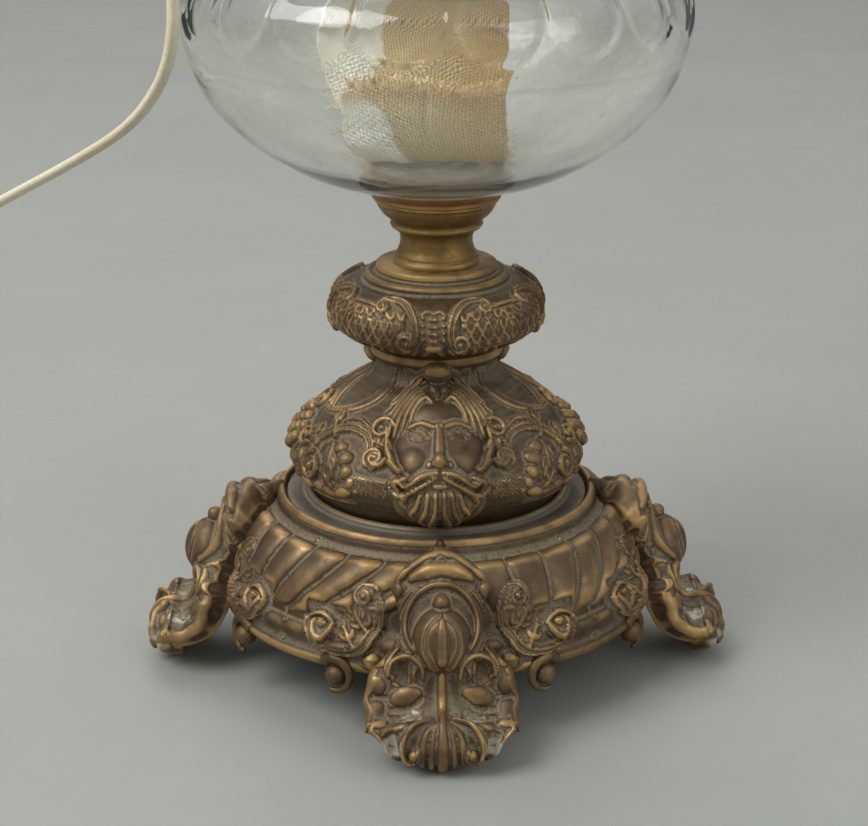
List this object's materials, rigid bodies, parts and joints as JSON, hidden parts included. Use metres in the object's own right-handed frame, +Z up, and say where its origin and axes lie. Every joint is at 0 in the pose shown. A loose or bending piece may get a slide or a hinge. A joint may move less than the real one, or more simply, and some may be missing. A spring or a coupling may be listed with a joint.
{
  "type": "oil lamp",
  "caption": "Tall oil lamp with a scrolled cast base on feet, knopped stem, clear glass font with its wick, round-wick burner and chimney, wired for a bulb.",
  "frame": {"origin": "centre of the base on the surface it stands on", "axes": "+Z up the centre line, -Y to the front where one foot points, +X to the right with the wick knob"},
  "size_m": [0.4837, 0.2102, 0.5865],
  "materials": {
    "bronzed_casting": "brown bronze patina over cast spelter, golden where worn",
    "dark_plate": "dull dark brown-grey",
    "old_brass": "olive-dark tarnished brass",
    "copper_band": "coppery brass",
    "plain_steel": "dull zinc-plated steel",
    "plaster": "matt set plaster",
    "clear_glass": "clear blown glass with a faint milky film",
    "frosted_glass": "satin white bulb glass",
    "wick_cotton": "coarse woven cotton, oil-stained",
    "holder_plastic": "cream moulded plastic",
    "cream_flex": "soft cream plastic insulation",
    "tie_plastic": "dark plastic band",
    "pin_metal": "nickel-plated pins"
  },
  "bodies": {
    "lamp": {"base_casting": "bronzed_casting", "seat_plate": "dark_plate", "body_casting": "bronzed_casting", "knop_casting": "bronzed_casting", "stem_cup": "old_brass", "cup_rim_ring": "copper_band", "tie_rod": "plain_steel", "rod_washer": "plain_steel", "rod_nuts": "plain_steel", "plaster_bed": "plaster", "font_glass": "clear_glass", "collar_plaster": "plaster", "font_collar": "old_brass", "burner_body": "old_brass", "burner_basket": "old_brass", "wick_tube": "old_brass", "draught_tube": "old_brass", "spindle_bearing": "old_brass", "spindle_sleeve": "old_brass", "gallery": "old_brass", "holder_plate": "old_brass", "lampholder": "holder_plastic", "socket_shell": "old_brass", "holder_leads": "cream_flex", "strain_relief": "cream_flex", "cord_run": "cream_flex", "cord_coil": "cream_flex", "cord_tail": "cream_flex", "cord_tie": "tie_plastic", "plug_body": "cream_flex", "plug_pins": "pin_metal"},
    "winder": {"wick_spindle": "plain_steel", "wick_wheels": "plain_steel", "wick_knob": "old_brass"},
    "wick": {"wick": "wick_cotton"},
    "chimney": {"chimney": "clear_glass"},
    "bulb": {"bulb_cap": "old_brass", "bulb_glass": "frosted_glass", "bulb_stem": "clear_glass"}
  },
  "joints": [
    {"name": "knob_turn", "type": "hinge", "parent": "lamp", "child": "winder", "pos_m": [0, 0.0166, 0.306], "axis": [-1, 0, 0], "range_deg": [0, 101.8]},
    {"name": "wick_raise", "type": "slide", "parent": "lamp", "child": "wick", "axis": [0, 0, 1], "range_m": [0, 0.008]},
    {"name": "chimney_lift", "type": "slide", "parent": "lamp", "child": "chimney", "axis": [0, 0, 1], "range_m": [0, 0.125]},
    {"name": "bulb_turn", "type": "hinge", "parent": "lamp", "child": "bulb", "pos_m": [0, 0, 0.36], "axis": [0, 0, 1], "range_deg": [0, 720]}
  ],
  "couplings": [
    {"joint": "knob_turn", "follows": "wick_raise", "rad_per_m": 222.1}
  ]
}
